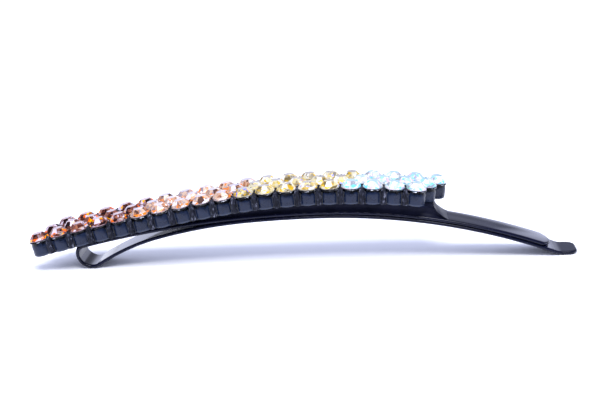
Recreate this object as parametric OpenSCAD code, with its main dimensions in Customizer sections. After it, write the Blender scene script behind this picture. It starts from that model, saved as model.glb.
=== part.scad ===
// Jewelled bobby pin: one bent spring strip that closes on itself, with a cast setting of three
// staggered rows of cut stones bedded on its upper leg.
// The pin lies along X with its loop at -X, rests on its loop and its tab at z = 0, and its
// stones face +Z. The origin is under the middle of the whole pin.

/* [Spring strip] */
// Width of the strip
strip_w = 5.0; // [4:0.1:6.2]
// Thickness of the strip with its enamel
strip_t = 0.5; // [0.35:0.01:0.7]
// Gap between the two closed legs
leg_gap = 0.06; // [0.04:0.01:0.2]

/* [Upper leg] */
// Radius of its top from the crest to the loop
front_r = 143; // [125:1:180]
// Radius of its top from the crest to the nose
back_r = 85; // [72:1:96]
// Distance along X from the crest to the loop
front_reach = 31.9; // [29:0.1:36]
// Distance along X from the crest to the tip of the nose
back_reach = 29.8; // [26:0.1:31]
// Radius of the rounded nose, seen from above
nose_r = 3.6; // [3.2:0.1:8]

/* [Loop] */
// Outer radius of the bend under the setting
bend_r = 1.2; // [0.9:0.05:2]
// Outer radius of the foot that the pin rests on
foot_r = 2.17; // [1.6:0.01:3]

/* [Lower leg] */
// Slope where the lower leg leaves the loop
flare_angle = 32; // [26:0.5:38]
// Slope where its tight curve eases
ease_angle = 14; // [11:0.5:18]
// Slope where it parts from the upper leg
part_angle = 4; // [2:0.5:6]
// Radius of the bend that turns it level into the tab
kick_r = 2.5; // [1.5:0.1:5]
// Length of the flat tab
tab_len = 1.9; // [1.2:0.1:4]
// How far each side of the tab is set in from the strip's side
tab_inset = 0.2; // [0:0.05:0.6]
// Radius of the tab's corners
tab_corner_r = 1.3; // [0.4:0.1:1.7]

/* [Stones] */
// Diameter of a stone
stone_d = 2.66; // [2.4:0.02:2.8]
// Space between the girdles of neighbouring stones
stone_space = 0.14; // [0.1:0.02:0.3]
// Height of the cut crown over the girdle
crown_h = 0.88; // [0.5:0.02:1.2]
// Depth of the point under the girdle
pavilion_h = 1.05; // [0.7:0.05:1.3]
// Height of the girdle band
girdle_h = 0.08; // [0.05:0.01:0.15]
// Height of the girdle over the rim of its cup
stone_lift = 0.1; // [0.06:0.01:0.2]
// Clearance between a stone and its seat
stone_gap = 0.03; // [0.02:0.01:0.05]

/* [Setting] */
// Radius of its rim over the back of the pin
rim_back_r = 100; // [90:1:140]
// Radius of its rim over the front of the pin
rim_front_r = 350; // [220:10:600]
// Slope where one radius gives way to the other
rim_turn = 9.5; // [7:0.5:12]
// Distance along X from the leg's crest to the setting's crest
rim_shift = 1.5; // [0:0.1:3]
// Length of rim from the setting's crest to the last stone of the front row
rim_lead = 11; // [9:0.1:12]
// Height of a cup from its base to its rim
cup_h = 2.05; // [1.6:0.05:2.6]
// Space between the walls of neighbouring cups
cup_space = 0.04; // [0.02:0.01:0.08]
// Width of the chamfer round a cup's base
cup_chamfer = 0.4; // [0.2:0.05:0.6]
// How far the body's sides are set in from the walls of the outer cups
body_inset = 0.43; // [0.3:0.01:0.6]
// Depth of the body's top under the rim
body_drop = 0.3; // [0.2:0.05:0.6]
// Diameter of the pillars between the outer cups
pillar_d = 0.84; // [0.5:0.02:1]
// Height of the prong tips over the rim
prong_h = 0.5; // [0.2:0.05:0.7]

/* [Adhesive bed] */
// How far each side of the bed is set in from the strip's side
bed_inset = 0.3; // [0:0.05:1]
// Distance along the rim from the setting's crest to the front end of the bed
bed_front = 24; // [16:0.5:27]
// How far the bed runs on past the last stone of the middle row
bed_over = 1.1; // [0.5:0.1:1.3]
// Radius of the hollow fillet at its back end
fillet_r = 1.2; // [0.6:0.1:1.4]
// Gap left round the bed, and between the setting and the strip
seat_gap = 0.02; // [0.01:0.01:0.05]

/* [Hidden] */
GROUPS = [["brown", 5], ["peach", 5], ["yellow", 5], ["aurora", 4]];
GROUP_COLOURS = [[0.42, 0.17, 0.08], [0.86, 0.62, 0.45], [0.9, 0.85, 0.5], [0.8, 0.9, 0.95]];
STONE_NODES = [for (g = GROUPS) for (k = [1 : g[1]]) str(g[0], "_stones_", k)];
COLUMN_GROUP = [for (g = [0 : len(GROUPS) - 1]) for (k = [1 : GROUPS[g][1]]) g];
METAL_NODES = ["upper_leg", "spring_loop", "lower_leg", "stone_setting", "adhesive_bed"];
columns = len(STONE_NODES);
enamel = [0.1, 0.1, 0.16];
adhesive = [0.03, 0.03, 0.05];

// Sizes that follow from the ones above
tab_w = strip_w - 2 * tab_inset;
bed_w = strip_w - 2 * bed_inset;
pitch = stone_d + stone_space;
cup_d = pitch - cup_space;

// Facets of long arcs, bends and small round parts
long_fn = 1440;
bend_fn = 180;
small_fn = 48;

// Degrees between the points of the lower leg's outline, on its long arcs and on the kick
leg_step = 0.75;
kick_step = 2;

// How far a shape that only trims another reaches past it
trim = 1;

// Feet of the cups and pillars over the body's base, and the prongs' widths at neck and tip
cup_lift = 0.04;
pillar_lift = 0.2;
pillar_chamfer = 0.1;
neck_ratio = 0.3;
tip_ratio = 0.12;

// A stone's rings: its corners, and the places of its kite corners and its table's corners
stone_sides = 16;
kite_ratio = 0.82;
kite_height = 0.55;
table_ratio = 0.56;

// The strip: everything is measured from the crest of the upper leg, then moved to the origin
bend_angle = asin(front_reach / front_r);
crest_z = foot_r + bend_r * cos(bend_angle) + front_r * (1 - cos(bend_angle));
lower_drop = 2 * strip_t + leg_gap;
front_c = [0, crest_z - front_r];
back_c = [0, crest_z - back_r];
loop_x = -front_reach + bend_r * sin(bend_angle) - bend_r;
bend_c = [loop_x + bend_r, foot_r];
foot_c = [loop_x + foot_r, foot_r];

// The lower leg leaves the foot at the flare slope and meets the legs' shared curve at the
// parting slope; the two radii between them close the path exactly
flare_p = foot_c + foot_r * [sin(flare_angle), -cos(flare_angle)];
part_r = front_r - lower_drop;
part_p = front_c + part_r * [-sin(part_angle), cos(part_angle)];
near_v = [sin(flare_angle) - sin(ease_angle), cos(ease_angle) - cos(flare_angle)];
far_v = [sin(ease_angle) - sin(part_angle), cos(part_angle) - cos(ease_angle)];
span_v = part_p - flare_p;
solve_d = near_v.x * far_v.y - near_v.y * far_v.x;
near_r = (span_v.x * far_v.y - span_v.y * far_v.x) / solve_d;
far_r = (near_v.x * span_v.y - near_v.y * span_v.x) / solve_d;
near_c = flare_p + near_r * [sin(flare_angle), -cos(flare_angle)];
ease_p = near_c + near_r * [-sin(ease_angle), cos(ease_angle)];
far_c = ease_p + far_r * [sin(ease_angle), -cos(ease_angle)];

// The lower leg's back curve ends where the kick brings the tab level with the floor
tail_r = back_r - lower_drop;
kick_angle = acos(1 - (crest_z - lower_drop) / (tail_r + kick_r));
kick_c = [(tail_r + kick_r) * sin(kick_angle), kick_r];
tab_x = kick_c.x + tab_len;
nose_angle = asin(back_reach / back_r) + trim;

// The setting's rim: two arcs that share a tangent
turn_s = rim_back_r * rim_turn * PI / 180;
row_y = pitch * sin(60);
first_s = rim_lead - pitch * (columns - 1);
body_y = row_y + cup_d / 2 - body_inset;
rim_front_x = rim_shift - (rim_back_r - rim_front_r) * sin(rim_turn);
rim_front_dz = (rim_back_r - rim_front_r) * cos(rim_turn) - rim_back_r;
base_at_loop = rim_front_dz + sqrt(pow(rim_front_r - cup_h, 2) - pow(front_reach + rim_front_x, 2));
leg_at_loop = front_c.y + front_r * cos(bend_angle);
rim_z = max(leg_at_loop - base_at_loop, crest_z + cup_h) + seat_gap;
rim_back_c = [rim_shift, rim_z - rim_back_r];
rim_front_c = [rim_front_x, rim_z + rim_front_dz];

// Slope of the rim at a length s from its crest, its centre there, and the point itself
function rim_slope(s) =
    s > -turn_s ? s / rim_back_r * 180 / PI : -rim_turn + (s + turn_s) / rim_front_r * 180 / PI;
function rim_c(s) = s > -turn_s ? rim_back_c : rim_front_c;
function rim_r(s) = s > -turn_s ? rim_back_r : rim_front_r;
function rim_p(s) = rim_c(s) + rim_r(s) * [sin(rim_slope(s)), cos(rim_slope(s))];
function stone_s(column, row) = first_s + pitch * column + pitch / 2 * row;

// The bed fills the space between the setting's base and the upper leg's top. Its fillet ends a
// few degrees before it would run out to nothing on the leg.
bed_steps = 20;
fillet_step = 8;
fillet_short = 10;
function leg_top(x) = x < 0
    ? [x, front_c.y + sqrt(pow(front_r + seat_gap, 2) - x * x)]
    : [x, back_c.y + sqrt(pow(back_r + seat_gap, 2) - x * x)];
function base_p(s) =
    rim_c(s) + (rim_r(s) - cup_h - seat_gap) * [sin(rim_slope(s)), cos(rim_slope(s))];
bed_back = stone_s(columns - 1, 1) + bed_over;
bed_end = base_p(bed_back);
fillet_slope = asin((bed_end.x + fillet_r) / (back_r + fillet_r + seat_gap));
fillet_c = back_c + (back_r + fillet_r + seat_gap) * [sin(fillet_slope), cos(fillet_slope)];

// Moves the pin so that the origin is under its middle
left_x = rim_p(first_s).x - cup_d / 2 * cos(rim_slope(first_s));
centre_x = -(left_x + tab_x) / 2;

// A strip bent round c between two radii, from an angle on
module bow(c, r_in, r_out, from, sweep)
    translate([c.x, 0, c.y]) rotate([90, 0, 0]) rotate([0, 0, from])
        rotate_extrude(angle = sweep, $fn = bend_fn)
            translate([r_in, -strip_w / 2]) square([r_out - r_in, strip_w]);

// A round pocket's, cup's or pillar's place on the rim, square to it
module on_rim(s, y)
    translate([rim_p(s).x, y, rim_p(s).y]) rotate([0, rim_slope(s), 0]) children();

module to_origin() translate([centre_x, 0, 0]) children();

// A stretch of the upper leg from its crest, at the origin, down towards the loop
module leg_arc(r, sweep)
    translate([0, 0, -r]) rotate([90, 0, 0]) rotate([0, 0, 90])
        rotate_extrude(angle = sweep, $fn = long_fn)
            translate([r - strip_t, -strip_w / 2]) square([strip_t, strip_w]);

module nose_plan()
    intersection() {
        translate([-trim, -strip_w / 2]) square([back_reach + trim, strip_w]);
        union() {
            translate([-trim, -strip_w / 2]) square([back_reach + trim - nose_r, strip_w]);
            translate([back_reach - nose_r, 0]) circle(nose_r, $fn = bend_fn);
        }
    }

module upper_leg()
    color(enamel) to_origin() {
        translate([0, 0, crest_z]) leg_arc(front_r, bend_angle);
        intersection() {
            translate([0, 0, crest_z]) mirror([1, 0, 0]) leg_arc(back_r, nose_angle);
            translate([0, 0, -trim]) linear_extrude(crest_z + 2 * trim) nose_plan();
        }
    }

module spring_loop()
    color(enamel) to_origin() {
        bow(bend_c, bend_r - strip_t, bend_r, 90 + bend_angle, 90 - bend_angle);
        bow(foot_c, foot_r - strip_t, foot_r, 180, 90 + flare_angle);
    }

// Plan of the lower leg: full width up to the kick, then the narrower tab with its round corners
module tab_plan() {
    shoulder_x = kick_c.x - kick_r * sin(kick_angle);
    front_x = -front_reach - 2 * trim;
    back_x = tab_x - tab_corner_r;
    translate([front_x, -strip_w / 2]) square([shoulder_x - front_x, strip_w]);
    translate([shoulder_x - trim, -tab_w / 2]) square([back_x - shoulder_x + trim, tab_w]);
    translate([back_x - trim, tab_corner_r - tab_w / 2])
        square([tab_corner_r + trim, tab_w - 2 * tab_corner_r]);
    for (side = [-1, 1])
        translate([back_x, side * (tab_w / 2 - tab_corner_r)])
            circle(tab_corner_r, $fn = bend_fn);
}

// Points along an arc, without its first one
function arc_points(c, r, from, to, step) =
    let (n = ceil(abs(to - from) / step))
        [for (k = [1 : n]) c + r * [cos(from + (to - from) * k / n), sin(from + (to - from) * k / n)]];

// The lower leg from the loop to the tab, at a height over its underside
function leg_path(h) = concat(
    [near_c + (near_r + h) * [-sin(flare_angle), cos(flare_angle)]],
    arc_points(near_c, near_r + h, 90 + flare_angle, 90 + ease_angle, leg_step),
    arc_points(far_c, far_r + h, 90 + ease_angle, 90 + part_angle, leg_step),
    arc_points(front_c, part_r + h, 90 + part_angle, 90, leg_step),
    arc_points(back_c, tail_r + h, 90, 90 - kick_angle, leg_step),
    arc_points(kick_c, kick_r - h, 270 - kick_angle, 270, kick_step),
    [[tab_x, h]]);

module lower_leg() {
    top = leg_path(strip_t);
    outline = concat(leg_path(0), [for (k = [len(top) - 1 : -1 : 0]) top[k]]);
    color(enamel) to_origin() intersection() {
        rotate([90, 0, 0]) linear_extrude(strip_w, center = true) polygon(outline);
        translate([0, 0, -trim]) linear_extrude(crest_z + 2 * trim) tab_plan();
    }
}

// One sector of the setting's body, chamfered along its lower edges
module body_sector(c, r, from, to)
    translate([c.x, 0, c.y]) rotate([90, 0, 0]) rotate([0, 0, from])
        rotate_extrude(angle = to - from, $fn = long_fn)
            polygon([
                [r - cup_h, cup_chamfer - body_y], [r - cup_h + cup_chamfer, -body_y],
                [r - body_drop, -body_y], [r - body_drop, body_y],
                [r - cup_h + cup_chamfer, body_y], [r - cup_h, body_y - cup_chamfer]]);

// Outline of the body from above: its ends slant through the end column of stones
module body_plan() {
    ends = [for (k = [0, columns - 1]) for (row = [0, 2]) rim_p(stone_s(k, row)).x];
    plan_y = body_y + trim;
    lean = (ends[1] - ends[0]) / (2 * row_y) * (plan_y - row_y);
    polygon([
        [ends[0] - lean, -plan_y], [ends[2] - lean, -plan_y],
        [ends[3] + lean, plan_y], [ends[1] + lean, plan_y]]);
}

// A cup, from its chamfered foot to its rim
module cup() {
    foot_z = cup_lift - cup_h;
    rotate_extrude($fn = small_fn)
        polygon([
            [0, foot_z], [cup_d / 2 - cup_chamfer, foot_z],
            [cup_d / 2, foot_z + cup_chamfer], [cup_d / 2, 0], [0, 0]]);
}

// A pillar between two outer cups, which narrows into the prong that holds both stones
module pillar() {
    foot_z = pillar_lift - cup_h;
    rotate_extrude($fn = small_fn)
        polygon([
            [0, foot_z], [pillar_d / 2 - pillar_chamfer, foot_z],
            [pillar_d / 2, foot_z + 2 * pillar_chamfer], [pillar_d / 2, -body_drop],
            [pillar_d * neck_ratio, 0], [pillar_d * tip_ratio, prong_h], [0, prong_h]]);
}

// The pocket under a stone: a cone like the stone's own point, with its clearance
module pocket() {
    mouth_r = (stone_d / 2 + stone_gap) * (pavilion_h - stone_lift) / pavilion_h;
    tip_z = stone_lift - pavilion_h - stone_gap;
    rotate_extrude($fn = small_fn)
        polygon([[0, tip_z], [mouth_r, 0], [mouth_r, stone_lift], [0, stone_lift]]);
}

module stone_setting() {
    back_slope = rim_slope(rim_lead + pitch * 1.5);
    front_slope = rim_slope(first_s - pitch / 2);
    color(enamel) to_origin() difference() {
        union() {
            intersection() {
                union() {
                    body_sector(rim_back_c, rim_back_r, 90 - back_slope, 90 + rim_turn);
                    body_sector(rim_front_c, rim_front_r, 90 + rim_turn, 90 - front_slope);
                }
                linear_extrude(rim_z + trim) body_plan();
            }
            for (row = [0 : 2]) for (k = [0 : columns - 1])
                on_rim(stone_s(k, row), (row - 1) * row_y) cup();
            for (k = [0 : columns - 2]) for (row = [0, 2])
                on_rim(stone_s(k, row) + pitch / 2, (row - 1) * body_y) pillar();
        }
        for (row = [0 : 2]) for (k = [0 : columns - 1])
            on_rim(stone_s(k, row), (row - 1) * row_y) pocket();
    }
}

// The bed seen from the side: its top, its hollow back fillet, and its foot on the leg
module bed_outline() {
    fillet_end = 270 - fillet_short - fillet_slope;
    foot_x = fillet_c.x + fillet_r * cos(fillet_end);
    front_x = base_p(-bed_front).x;
    top = [for (k = [0 : bed_steps]) base_p(-bed_front + (bed_back + bed_front) * k / bed_steps)];
    fillet = [for (a = [180 : fillet_step : fillet_end]) fillet_c + fillet_r * [cos(a), sin(a)]];
    foot = [for (k = [0 : bed_steps]) leg_top(foot_x + (front_x - foot_x) * k / bed_steps)];
    polygon(concat(top, fillet, foot));
}

module adhesive_bed()
    color(adhesive) to_origin()
        rotate([90, 0, 0]) linear_extrude(bed_w, center = true) bed_outline();

// A point of one of a stone's rings
function ring_p(r, turn, z) = [r * cos(turn), r * sin(turn), z];

// A cut stone: sixteen-sided girdle, eight kites, eight stars and an eight-sided table, with its
// point below. The rings are the girdle's foot and top, the corners of the kites, and the table.
module cut_stone() {
    r = stone_d / 2;
    half = stone_sides / 2;
    step = 360 / stone_sides;
    kite_z = girdle_h + (crown_h - girdle_h) * kite_height;
    points = concat(
        [[0, 0, -pavilion_h]],
        [for (k = [0 : stone_sides - 1]) ring_p(r, step * k, 0)],
        [for (k = [0 : stone_sides - 1]) ring_p(r, step * k, girdle_h)],
        [for (k = [0 : half - 1]) ring_p(kite_ratio * r, step * 2 * k, kite_z)],
        [for (k = [0 : half - 1]) ring_p(table_ratio * r, step * (2 * k + 1), crown_h)]);
    foot = 1;
    top = foot + stone_sides;
    kite = top + stone_sides;
    table = kite + half;
    sides = [for (k = [0 : stone_sides - 1]) [k, (k + 1) % stone_sides]];
    facets = [for (k = [0 : half - 1]) [k, (k + 1) % half, 2 * k, 2 * k + 1]];
    faces = concat(
        [for (e = sides) [0, foot + e[0], foot + e[1]]],
        [for (e = sides) [foot + e[1], foot + e[0], top + e[0]]],
        [for (e = sides) [foot + e[1], top + e[0], top + e[1]]],
        [for (f = facets) [kite + f[0], top + f[3], top + f[2]]],
        [for (f = facets) [kite + f[1], top + (f[2] + 2) % stone_sides, top + f[3]]],
        [for (f = facets) [table + f[0], top + f[3], kite + f[0]]],
        [for (f = facets) [table + f[0], kite + f[1], top + f[3]]],
        [for (f = facets) [table + f[1], kite + f[1], table + f[0]]],
        [for (k = [1 : half - 2]) [table, table + k + 1, table + k]]);
    polyhedron(points, faces);
}

// The three stones of one slanting column
module stone_trio(column)
    color(GROUP_COLOURS[COLUMN_GROUP[column]]) to_origin()
        for (row = [0 : 2])
            on_rim(stone_s(column, row), (row - 1) * row_y) translate([0, 0, stone_lift]) cut_stone();

upper_leg();
spring_loop();
lower_leg();
stone_setting();
adhesive_bed();
for (k = [0 : columns - 1])
    stone_trio(k);
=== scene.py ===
# %% [markdown]
# # A jewelled bobby pin
# The pin is a single spring strip, folded on itself at a loop and enamelled black. A cast setting
# with three staggered rows of cut stones lies along its upper leg, bedded in black adhesive. The CAD
# model gives every place and size, and this lesson dresses it: the strip gets rolled edges, the
# casting gets its cups, rough pillars and prongs, and the stones get their facets and their fire.

# %% The fixed frame
import math

import bmesh
import bpy
import numpy as np
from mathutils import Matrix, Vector


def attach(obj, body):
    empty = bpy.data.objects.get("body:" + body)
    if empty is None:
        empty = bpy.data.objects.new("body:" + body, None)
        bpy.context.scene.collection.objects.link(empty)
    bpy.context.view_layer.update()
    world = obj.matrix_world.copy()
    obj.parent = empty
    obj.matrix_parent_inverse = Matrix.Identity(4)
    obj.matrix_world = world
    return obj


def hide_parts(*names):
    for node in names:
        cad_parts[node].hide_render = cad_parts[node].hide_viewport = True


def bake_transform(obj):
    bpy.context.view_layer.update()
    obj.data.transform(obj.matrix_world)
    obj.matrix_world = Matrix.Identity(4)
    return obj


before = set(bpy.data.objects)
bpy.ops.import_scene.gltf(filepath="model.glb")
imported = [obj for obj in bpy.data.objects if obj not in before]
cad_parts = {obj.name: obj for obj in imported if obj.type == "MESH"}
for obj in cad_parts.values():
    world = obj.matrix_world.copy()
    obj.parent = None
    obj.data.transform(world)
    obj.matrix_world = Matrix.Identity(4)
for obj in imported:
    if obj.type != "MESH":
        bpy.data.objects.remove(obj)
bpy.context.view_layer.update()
MM = 0.001

# %% [markdown]
# ## The camera and the studio
# The photograph was taken with a long lens, a little above the table and almost square to the pin.
# The angles below were measured from the slant of the stone columns, the two sides of the strip and
# its two points of rest. Setting the camera first means that every later render can be compared
# with the photograph.

# %% Camera
photo_width_px = 612
camera_rise = math.radians(15.107)
camera_turn = math.radians(-3.855)
camera_roll = math.radians(-2.765)
camera_distance = 167.38
camera_target = np.array([0.736, 0.0, 7.344])
focal_px = 1269.2
sensor_mm = 36.0

ahead = np.array([math.sin(camera_turn) * math.cos(camera_rise),
                  math.cos(camera_turn) * math.cos(camera_rise),
                  -math.sin(camera_rise)])
level = np.array([math.cos(camera_turn), -math.sin(camera_turn), 0.0])
above = np.cross(level, ahead)
right = math.cos(camera_roll) * level + math.sin(camera_roll) * above
up = math.cos(camera_roll) * above - math.sin(camera_roll) * level

camera_data = bpy.data.cameras.new("photo_camera")
camera_data.sensor_width = sensor_mm
camera_data.lens = focal_px / photo_width_px * sensor_mm
camera_data.clip_start, camera_data.clip_end = 0.01, 20
camera = bpy.data.objects.new("photo_camera", camera_data)
bpy.context.scene.collection.objects.link(camera)
pose = np.eye(4)
pose[:3, 0], pose[:3, 1], pose[:3, 2] = right, up, -ahead
pose[:3, 3] = (camera_target - camera_distance * ahead) * MM
camera.matrix_world = pose.T.tolist()
bpy.context.scene.camera = camera
bpy.context.scene.view_settings.view_transform = "Standard"
print("camera at", pose[:3, 3].round(4), "lens", round(camera_data.lens, 2))

# %% [markdown]
# A few helpers come next. Every new piece is a grid of points worked out as one array, so two helpers
# make the faces of a grid and of its ends, and another turns arrays into a closed mesh with its faces
# outward. The finishes are written as sums and products of shader sockets, so a small class lets
# Python's own signs stand for the math nodes.

# %% Helpers for meshes
merge_m, sliver_m = 2e-7, 1e-7


def grid_faces(rows, columns):
    """Quads of a grid of points, row by row, with the last column joined to the first."""
    r = np.arange(rows - 1)[:, None] * columns
    c = np.arange(columns)[None, :]
    n = (c + 1) % columns
    return np.stack([r + c, r + n, r + columns + n, r + columns + c], -1).reshape(-1, 4)


def loft_faces(rows, columns):
    """A grid's quads and those of its two end caps, where point j faces point columns - 1 - j."""
    j = np.arange((columns - 1) // 2)
    cap = np.stack([j, j + 1, columns - 2 - j, columns - 1 - j], -1)
    return np.concatenate([grid_faces(rows, columns), cap[:, ::-1], cap + (rows - 1) * columns])


def make_piece(name, points, faces, sharp_degrees=40, smooth=True, **layers):
    """A closed mesh from points in mm: doubles merged, faces outward, creases kept sharp. Each layer
    is an array with a number for every point, which the material can read by the layer's name."""
    mesh = bpy.data.meshes.new(name)
    mesh.from_pydata((np.asarray(points) * MM).tolist(), [], [list(f) for f in faces])
    for title, values in layers.items():
        layer = mesh.attributes.new(title, "FLOAT", "POINT")
        layer.data.foreach_set("value", np.ravel(values).astype(np.float32))
    bm = bmesh.new()
    bm.from_mesh(mesh)
    bmesh.ops.remove_doubles(bm, verts=bm.verts, dist=merge_m)
    bmesh.ops.dissolve_degenerate(bm, edges=bm.edges, dist=sliver_m)
    bmesh.ops.recalc_face_normals(bm, faces=bm.faces)
    open_edges = sum(not e.is_manifold for e in bm.edges)
    bm.to_mesh(mesh)
    bm.free()
    if smooth:
        mesh.shade_smooth()
        mesh.set_sharp_from_angle(angle=math.radians(sharp_degrees))
    piece = bpy.data.objects.new(name, mesh)
    bpy.context.scene.collection.objects.link(piece)
    print(name, len(mesh.polygons), "faces,", open_edges, "open edges")
    return piece


# %% Helpers for finishes
class Value:
    """A shader socket that can be used in sums, as in 1 - mask * 0.5."""

    def __init__(self, finish, socket):
        self.finish, self.socket = finish, socket

    def math(self, operation, *others):
        """One math node with this socket as its first input."""
        return self.finish.node("ShaderNodeMath", {"operation": operation}, [self, *others])

    def __add__(self, other):
        return self.math("ADD", other)

    def __mul__(self, other):
        return self.math("MULTIPLY", other)

    def __sub__(self, other):
        return self.math("SUBTRACT", other)

    def __rsub__(self, other):
        return self.finish.node("ShaderNodeMath", {"operation": "SUBTRACT"}, [other, self])

    __radd__, __rmul__ = __add__, __mul__


class Finish:
    """A material with one Principled shader, and the one method that adds any other node."""

    def __init__(self, name, **constants):
        self.material = bpy.data.materials.new(name)
        self.material.use_nodes = True
        self.tree = self.material.node_tree
        self.tree.nodes.clear()
        self.shader = self.tree.nodes.new("ShaderNodeBsdfPrincipled")
        output = self.tree.nodes.new("ShaderNodeOutputMaterial")
        self.tree.links.new(self.shader.outputs[0], output.inputs["Surface"])
        for name, value in constants.items():
            self.shader.inputs[name.replace("_", " ")].default_value = value

    def node(self, kind, settings=(), inputs=(), output=0):
        """Adds a node of a kind, with its settings, its inputs by place or name, and one output."""
        made = self.tree.nodes.new(kind)
        for key, value in dict(settings).items():
            if key == "stops":
                ramp = made.color_ramp
                while len(ramp.elements) > 1:
                    ramp.elements.remove(ramp.elements[-1])
                for k, (place, rgba) in enumerate(value):
                    stop = ramp.elements[0] if k == 0 else ramp.elements.new(place)
                    stop.position, stop.color = place, rgba
            elif key == "interpolation":
                made.color_ramp.interpolation = value
            else:
                setattr(made, key, value)
        for key, value in (inputs.items() if isinstance(inputs, dict) else enumerate(inputs)):
            if isinstance(value, Value):
                self.tree.links.new(value.socket, made.inputs[key])
            else:
                made.inputs[key].default_value = value
        return Value(self, made.outputs[output])

    def place(self):
        """Object coordinates, in metres."""
        return self.node("ShaderNodeTexCoord", output="Object")

    def noise(self, scale, detail=3.0, roughness=0.55, stretch=(1.0, 1.0, 1.0)):
        """Smooth noise from 0 to 1; scale is the number of lumps in a metre, times stretch."""
        where = self.node("ShaderNodeVectorMath", {"operation": "MULTIPLY"}, [self.place(), stretch])
        return self.node("ShaderNodeTexNoise", {}, {
            "Vector": where, "Scale": scale, "Detail": detail, "Roughness": roughness})

    def splinters(self, scale):
        """Straight-sided cells, each with a number of its own around 0.5. Each cell has a colour, and
        the product with 1 makes it a number."""
        return self.node("ShaderNodeTexVoronoi", {}, {"Vector": self.place(), "Scale": scale},
                         output="Color") * 1.0

    def ramp(self, value, stops, interpolation="LINEAR"):
        """A colour for each value, from (place, (r, g, b)) stops."""
        full = [(p, (*c, 1.0)) for p, c in stops]
        return self.node("ShaderNodeValToRGB", {"stops": full, "interpolation": interpolation}, [value])

    def mix(self, factor, a, b):
        """Colour a where the factor is 0 and b where it is 1."""
        return self.node("ShaderNodeMix", {"data_type": "RGBA"}, {0: factor, 6: a, 7: b}, output=2)

    def step(self, value, start, end):
        """0 before start and 1 past end, with an even slope between; end may lie below start."""
        return self.node("ShaderNodeMapRange", {"clamp": True}, [value, start, end, 0.0, 1.0])

    def bump(self, height, strength, distance):
        """Dents and bumps from a height, with the distance in metres."""
        return self.node("ShaderNodeBump", {}, {
            "Strength": strength, "Distance": distance, "Height": height})

    def feed(self, **sockets):
        """Links values to the shader's own sockets."""
        for name, value in sockets.items():
            self.tree.links.new(value.socket, self.shader.inputs[name.replace("_", " ")])
        return self.material


def colour(r, g, b):
    """A colour with alpha for a shader's own socket."""
    return (r, g, b, 1.0)


# %% [markdown]
# ## The strip
# The real strip is sheared from flat spring steel, tumbled until its edges are round, bent and then
# enamelled. A sweep of a rounded section along a path of tangent arcs follows that: the section's
# edge is rolled where it comes within a small radius of the strip's outline, so the same formula
# rounds the long sides, the nose and the corners of the tab.

# %% The strip's measures and its arcs
# All lengths are in mm. The upper leg is two arcs that meet at the crest: front_r towards the loop
# and back_r towards the nose. The loop is turned with bend_r above and foot_r below. The three angles
# are the slopes of the lower leg where its arcs meet.
strip_w, strip_t, leg_gap = 5.0, 0.5, 0.06
front_r, back_r = 143.0, 85.0
front_reach, back_reach, nose_r = 31.9, 29.8, 3.6
bend_r, foot_r = 1.2, 2.17
flare, ease, parting = np.radians([32.0, 14.0, 4.0])
kick_r, tab_len, tab_inset, tab_corner_r = 2.5, 1.9, 0.2, 1.3
edge_r, crown_rise = 0.2, 0.08

bend_angle = math.asin(front_reach / front_r)
crest_z = foot_r + bend_r * math.cos(bend_angle) + front_r * (1 - math.cos(bend_angle))
lower_drop = 2 * strip_t + leg_gap
front_c = np.array([0.0, crest_z - front_r])
back_c = np.array([0.0, crest_z - back_r])
loop_x = -front_reach + bend_r * math.sin(bend_angle) - bend_r
bend_c = np.array([loop_x + bend_r, foot_r])
foot_c = np.array([loop_x + foot_r, foot_r])


def level_ends(t):
    """An even rise from 0 to 1 made level at both ends: t * t * (3 - 2 * t)."""
    t = np.clip(t, 0, 1)
    return t * t * (3 - 2 * t)


def spoke(angle):
    """The unit vector at an angle, or one for each of several."""
    return np.stack([np.cos(angle), np.sin(angle)], -1)


flare_p = foot_c + foot_r * spoke(flare - math.pi / 2)
part_p = front_c + (front_r - lower_drop) * spoke(math.pi / 2 + parting)
legs = np.stack([spoke(math.pi / 2 + ease) - spoke(math.pi / 2 + flare),
                 spoke(math.pi / 2 + parting) - spoke(math.pi / 2 + ease)], -1)
near_r, far_r = np.linalg.solve(legs, part_p - flare_p)
near_c = flare_p - near_r * spoke(math.pi / 2 + flare)
far_c = near_c + (near_r - far_r) * spoke(math.pi / 2 + ease)
tail_r = back_r - lower_drop
kick = math.acos(1 - (crest_z - lower_drop) / (tail_r + kick_r))
kick_c = np.array([(tail_r + kick_r) * math.sin(kick), kick_r])
tab_x = kick_c[0] + tab_len
print("lower leg's radii", round(near_r, 2), round(far_r, 2), "kick", round(math.degrees(kick), 2))

# %% [markdown]
# The setting's rim is two more arcs. The cup at its left end fixes how far the pin reaches to the
# left, and so how far everything moves to put the origin under the middle.

# %% The rim that carries the stones
# The rim is the level of the cups' lips. A length s runs along it from its crest towards the tab, and
# the last stone of the near row is at rim_lead.
stone_d, stone_space, cup_space = 2.66, 0.14, 0.04
rim_back_r, rim_front_r, rim_turn = 100.0, 350.0, math.radians(9.5)
rim_shift, rim_lead, cup_h = 1.5, 11.0, 2.05
body_inset, body_drop, seat_gap = 0.43, 0.3, 0.02
columns, rows = 19, 3
pitch = stone_d + stone_space
cup_d = pitch - cup_space
row_y = pitch * math.sin(math.radians(60))
body_y = row_y + cup_d / 2 - body_inset
first_s = rim_lead - pitch * (columns - 1)
turn_s = rim_back_r * rim_turn
front_x = rim_shift + (rim_front_r - rim_back_r) * math.sin(rim_turn)
front_dz = (rim_back_r - rim_front_r) * math.cos(rim_turn) - rim_back_r
base_at_loop = front_dz + math.sqrt((rim_front_r - cup_h) ** 2 - (front_reach + front_x) ** 2)
leg_at_loop = front_c[1] + front_r * math.cos(bend_angle)
rim_z = max(leg_at_loop - base_at_loop, crest_z + cup_h) + seat_gap


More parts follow.
